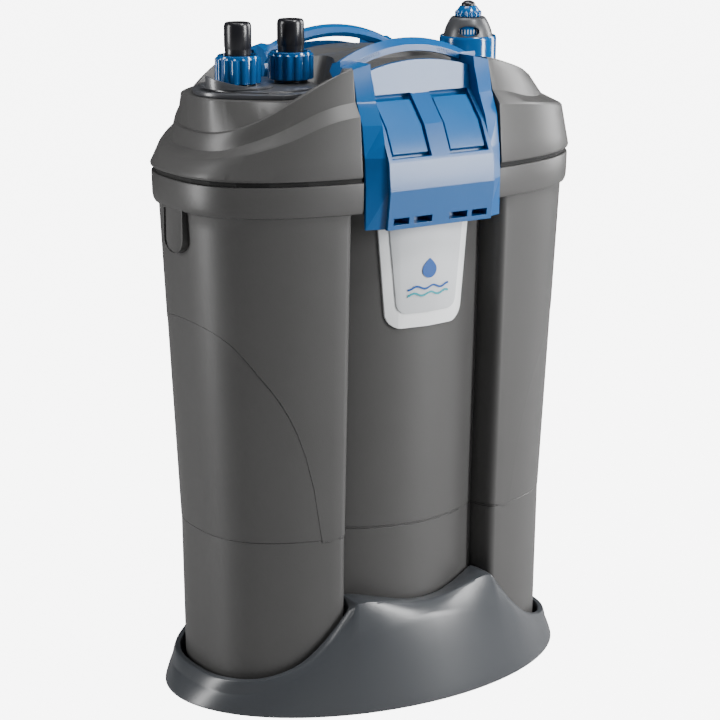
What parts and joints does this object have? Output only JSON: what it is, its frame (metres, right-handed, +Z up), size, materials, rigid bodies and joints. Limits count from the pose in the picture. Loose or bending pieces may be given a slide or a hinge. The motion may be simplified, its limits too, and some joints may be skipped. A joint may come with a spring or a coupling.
{
  "type": "canister filter",
  "caption": "Tall three-lobed canister filter with a flared foot, pump head, two blue carrying latches, hose connector and heater dial.",
  "frame": {"origin": "centre of the bounding box's bottom face, on the ground under the middle of the tank", "axes": "+X along the long side towards the heater, -Y to the front with the badge, +Z up"},
  "size_m": [0.336, 0.226, 0.5134],
  "materials": {
    "body_grey": "satin, finely grained dark grey moulding",
    "foot_grey": "smoother satin slate grey moulding",
    "rubber_black": "matte",
    "badge_white": "milky, slightly glossy",
    "badge_grey": "satin light grey",
    "basket_grey": "satin",
    "foam_blue": "open-cell foam",
    "foam_orange": "open-cell foam",
    "dark_grey": "satin",
    "gloss_dark": "glossy, near black",
    "gloss_black": "glossy black",
    "steel": "bright",
    "copper": "enamelled winding wire",
    "ceramic": "fired ceramic, satin",
    "gloss_blue": "glossy deep blue",
    "scale_blue": "glossy blue",
    "latch_blue": "satin mid blue",
    "panel_blue": "satin mid blue"
  },
  "bodies": {
    "canister": {"tank": "body_grey", "foot_skirt": "foot_grey", "foot_pad_1": "rubber_black", "foot_pad_2": "rubber_black", "foot_pad_3": "rubber_black", "foot_pad_4": "rubber_black", "badge_plate": "badge_white", "badge_insert": "badge_grey", "media_basket_lower": "basket_grey", "media_basket_middle": "basket_grey", "media_basket_upper": "basket_grey", "filter_pad_lower": "foam_blue", "filter_pad_middle": "foam_blue", "filter_pad_upper": "foam_orange", "prefilter_foam": "foam_orange"},
    "head": {"head_cover": "body_grey", "head_plate": "dark_grey", "head_seal": "rubber_black", "motor_can": "dark_grey", "stator_core": "steel", "stator_coil": "copper", "pump_cover": "dark_grey", "impeller_shaft": "ceramic", "shaft_bush_lower": "rubber_black", "shaft_bush_upper": "rubber_black", "riser_pipe": "dark_grey", "heater_collar": "gloss_blue", "heater_cap": "dark_grey", "heater_scale": "scale_blue", "heater_tube": "steel", "heater_element": "ceramic", "cable_gland": "rubber_black", "latch_pin_front": "steel", "latch_pin_back": "steel", "plate_screw_1": "steel", "plate_screw_2": "steel", "plate_screw_3": "steel", "plate_screw_4": "steel", "connector_block": "gloss_dark", "hose_tail_inlet": "gloss_black", "hose_tail_outlet": "gloss_black", "seal_ring_inlet": "rubber_black", "seal_ring_outlet": "rubber_black", "valve_ball_inlet": "ceramic", "valve_ball_outlet": "ceramic"},
    "latch_front": {"latch_frame_front": "latch_blue", "latch_panel_front": "panel_blue"},
    "latch_back": {"latch_frame_back": "latch_blue", "latch_panel_back": "panel_blue"},
    "nut_inlet": {"union_nut_inlet": "gloss_blue"},
    "nut_outlet": {"union_nut_outlet": "gloss_blue"},
    "lever": {"shutoff_lever": "gloss_dark"},
    "impeller_unit": {"impeller": "scale_blue", "rotor_magnet": "dark_grey"},
    "dial": {"dial_knob": "gloss_blue", "dial_tip": "gloss_black"}
  },
  "joints": [
    {"name": "head_lift", "type": "slide", "parent": "canister", "child": "head", "axis": [0, 0, 1], "range_m": [0, 0.04]},
    {"name": "latch_front_hinge", "type": "hinge", "parent": "head", "child": "latch_front", "pos_m": [0, -0.056, 0.466], "axis": [-1, 0, 0], "range_deg": [0, 22.1]},
    {"name": "latch_back_hinge", "type": "hinge", "parent": "head", "child": "latch_back", "pos_m": [0, 0.056, 0.466], "axis": [1, 0, 0], "range_deg": [0, 22.1]},
    {"name": "nut_inlet_spin", "type": "hinge", "parent": "head", "child": "nut_inlet", "pos_m": [-0.1093, 0, 0.475], "axis": [0, 0, 1], "continuous": true},
    {"name": "nut_outlet_spin", "type": "hinge", "parent": "head", "child": "nut_outlet", "pos_m": [-0.0648, 0, 0.475], "axis": [0, 0, 1], "continuous": true},
    {"name": "shutoff_swing", "type": "hinge", "parent": "head", "child": "lever", "pos_m": [-0.1093, 0, 0.463], "axis": [0, 0, 1], "range_deg": [0, 75]},
    {"name": "dial_turn", "type": "hinge", "parent": "head", "child": "dial", "pos_m": [0.0945, 0, 0.505], "axis": [0, 0, 1], "range_deg": [-135, 135]},
    {"name": "impeller_spin", "type": "hinge", "parent": "head", "child": "impeller_unit", "pos_m": [0, 0, 0.4], "axis": [0, 0, 1], "continuous": true}
  ],
  "couplings": [
    {"joint": "latch_front_hinge", "follows": "head_lift", "rad_per_m": 9.5993},
    {"joint": "latch_back_hinge", "follows": "head_lift", "rad_per_m": 9.5993}
  ]
}
